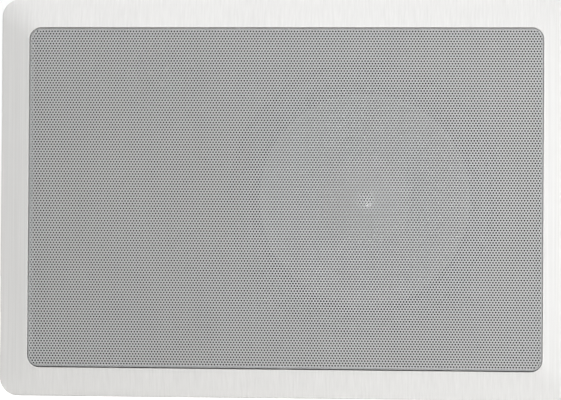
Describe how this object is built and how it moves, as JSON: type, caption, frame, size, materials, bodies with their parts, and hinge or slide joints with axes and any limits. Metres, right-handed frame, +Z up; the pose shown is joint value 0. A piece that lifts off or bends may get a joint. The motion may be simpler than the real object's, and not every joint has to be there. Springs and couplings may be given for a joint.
{
  "type": "in-wall speaker",
  "caption": "Rectangular two-way loudspeaker that sits flush in a wall: sloped frame, perforated grille, woofer, swivelling tweeter, crossover and swing-out wall clamps.",
  "frame": {"origin": "centre of the frame's outline, on the wall's surface, where the flange's foot bears", "axes": "+X right and +Z up as seen from the room, +Y into the wall"},
  "size_m": [0.31, 0.0796, 0.216],
  "materials": {
    "frame_white": "fine satin moulded white",
    "grille_paint": "satin white powder coat",
    "basket_paint": "black baked paint",
    "gasket_foam": "closed-cell foam",
    "surround_rubber": "matt butyl rubber",
    "cone_poly": "grey moulded cone",
    "cap_poly": "glossy grey",
    "former_foil": "rolled foil",
    "copper": "enamelled copper wire",
    "spider_cloth": "varnished woven cotton",
    "plated_steel": "zinc plated, turned",
    "ferrite": "ground ferrite",
    "black_screw": "black oxide",
    "black_plastic": "fine grain",
    "dome_silk": "doped silk",
    "neodymium": "nickel plated",
    "board_laminate": "solder mask on laminate",
    "zinc_screw": "bright zinc",
    "capacitor_sleeve": "shrink sleeve",
    "capacitor_film": "film wrap",
    "resistor_cement": "cement filled ceramic",
    "lever_red": "moulded red",
    "lever_black": "moulded black",
    "dog_plastic": "glass filled nylon"
  },
  "bodies": {
    "frame": {"frame": "frame_white", "grille": "grille_paint", "woofer_basket": "basket_paint", "woofer_gasket": "gasket_foam", "woofer_surround": "surround_rubber", "spider": "spider_cloth", "top_plate": "plated_steel", "ferrite_magnet": "ferrite", "yoke": "plated_steel", "woofer_screws": "black_screw", "tweeter_socket": "black_plastic", "crossover_board": "board_laminate", "crossover_screws": "zinc_screw", "choke_bobbin": "black_plastic", "choke_winding": "copper", "capacitor_large": "capacitor_sleeve", "capacitor_small": "capacitor_film", "resistor": "resistor_cement", "terminal_block": "black_plastic"},
    "woofer_moving": {"woofer_cone": "cone_poly", "dust_cap": "cap_poly", "coil_former": "former_foil", "voice_coil": "copper"},
    "tweeter": {"tweeter_housing": "black_plastic", "tweeter_faceplate": "black_plastic", "tweeter_dome": "dome_silk", "tweeter_coil": "copper", "tweeter_pole_plate": "plated_steel", "tweeter_magnet": "neodymium", "tweeter_cup": "plated_steel"},
    "lever_red": {"terminal_lever_red": "lever_red"},
    "lever_black": {"terminal_lever_black": "lever_black"},
    "screw_right_top": {"clamp_screw_right_top": "black_screw"},
    "dog_right_top": {"clamp_dog_right_top": "dog_plastic"},
    "screw_left_top": {"clamp_screw_left_top": "black_screw"},
    "dog_left_top": {"clamp_dog_left_top": "dog_plastic"},
    "screw_left_bottom": {"clamp_screw_left_bottom": "black_screw"},
    "dog_left_bottom": {"clamp_dog_left_bottom": "dog_plastic"},
    "screw_right_bottom": {"clamp_screw_right_bottom": "black_screw"},
    "dog_right_bottom": {"clamp_dog_right_bottom": "dog_plastic"}
  },
  "joints": [
    {"name": "woofer_excursion", "type": "slide", "parent": "frame", "child": "woofer_moving", "axis": [0, -1, 0], "range_m": [-0.004, 0.004], "stiffness_N_per_m": 1200, "deforming": ["woofer_surround", "spider"]},
    {"name": "tweeter_tilt", "type": "hinge", "parent": "frame", "child": "tweeter", "pos_m": [-0.0685, 0.009, 0.0668], "axis": [0, 0, 1], "range_deg": [-12, 12]},
    {"name": "lever_press_red", "type": "slide", "parent": "frame", "child": "lever_red", "axis": [0, -1, 0], "range_m": [0, 0.0025], "stiffness_N_per_m": 600, "springref_m": -0.002},
    {"name": "lever_press_black", "type": "slide", "parent": "frame", "child": "lever_black", "axis": [0, -1, 0], "range_m": [0, 0.0025], "stiffness_N_per_m": 600, "springref_m": -0.002},
    {"name": "clamp_swing_right_top", "type": "hinge", "parent": "frame", "child": "screw_right_top", "pos_m": [0.126, 0, 0.08], "axis": [0, 1, 0], "range_deg": [0, 90]},
    {"name": "clamp_travel_right_top", "type": "slide", "parent": "screw_right_top", "child": "dog_right_top", "axis": [0, -1, 0], "range_m": [0, 0.028]},
    {"name": "clamp_swing_left_top", "type": "hinge", "parent": "frame", "child": "screw_left_top", "pos_m": [-0.126, 0, 0.08], "axis": [0, -1, 0], "range_deg": [0, 90]},
    {"name": "clamp_travel_left_top", "type": "slide", "parent": "screw_left_top", "child": "dog_left_top", "axis": [0, -1, 0], "range_m": [0, 0.028]},
    {"name": "clamp_swing_left_bottom", "type": "hinge", "parent": "frame", "child": "screw_left_bottom", "pos_m": [-0.126, 0, -0.08], "axis": [0, 1, 0], "range_deg": [0, 90]},
    {"name": "clamp_travel_left_bottom", "type": "slide", "parent": "screw_left_bottom", "child": "dog_left_bottom", "axis": [0, -1, 0], "range_m": [0, 0.028]},
    {"name": "clamp_swing_right_bottom", "type": "hinge", "parent": "frame", "child": "screw_right_bottom", "pos_m": [0.126, 0, -0.08], "axis": [0, -1, 0], "range_deg": [0, 90]},
    {"name": "clamp_travel_right_bottom", "type": "slide", "parent": "screw_right_bottom", "child": "dog_right_bottom", "axis": [0, -1, 0], "range_m": [0, 0.028]}
  ]
}
